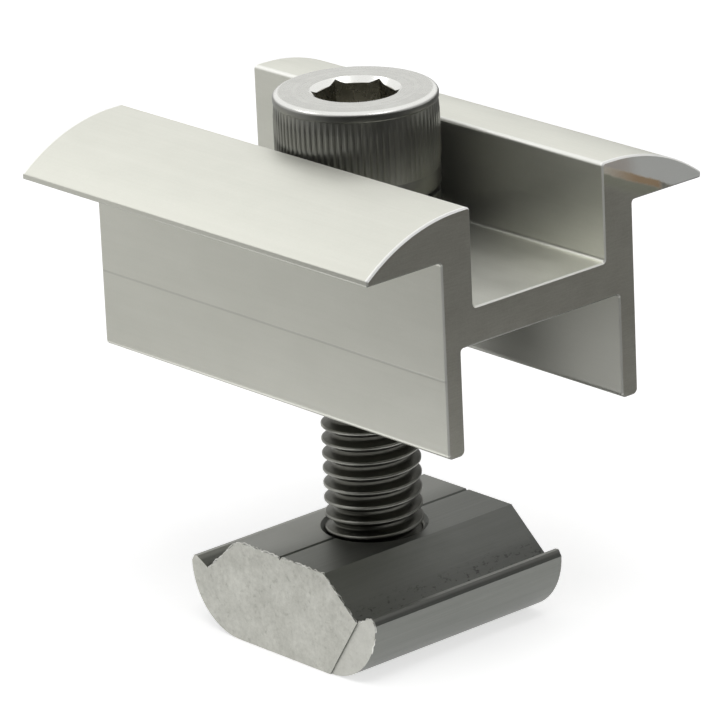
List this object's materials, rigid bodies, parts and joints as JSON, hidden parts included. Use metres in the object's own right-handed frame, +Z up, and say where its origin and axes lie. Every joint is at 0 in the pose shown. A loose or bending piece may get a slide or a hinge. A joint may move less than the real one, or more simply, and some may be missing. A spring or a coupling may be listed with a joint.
{
  "type": "solar mid clamp",
  "caption": "Winged aluminium bar with a socket head cap screw, spring washer and rail nut; clamps two framed solar modules side by side to a mounting rail.",
  "frame": {"origin": "centre of the rail nut's underside, on the screw's axis", "axes": "+Z up along the screw's axis, X along the clamp bar's extrusion and the modules' edges, Y across the wings, along the rail"},
  "size_m": [0.0404, 0.0348, 0.0445],
  "materials": {
    "bar_aluminium": "mill-finish extruded aluminium, satin, with fine die lines",
    "nut_aluminium": "dull extruded aluminium with sawn ends",
    "screw_steel": "plain stainless steel, knurled head, rolled thread",
    "washer_steel": "plain stainless spring steel"
  },
  "bodies": {
    "nut": {"rail_nut": "nut_aluminium"},
    "washer": {"spring_washer": "washer_steel"},
    "screw": {"cap_screw": "screw_steel"},
    "clamp": {"clamp_body": "bar_aluminium"}
  },
  "joints": [
    {"name": "washer_lift", "type": "slide", "parent": "nut", "child": "washer", "axis": [0, 0, 1], "range_m": [-0.0113, 0.0051]},
    {"name": "screw_turn", "type": "hinge", "parent": "washer", "child": "screw", "pos_m": [0, 0, 0.0365], "axis": [0, 0, 1], "range_deg": [-3240, 1440]},
    {"name": "clamp_swivel", "type": "hinge", "parent": "washer", "child": "clamp", "pos_m": [0, 0, 0.03296], "axis": [0, 0, 1], "continuous": true}
  ],
  "couplings": [
    {"joint": "washer_lift", "follows": "screw_turn", "m_per_rad": 0.00019894}
  ]
}
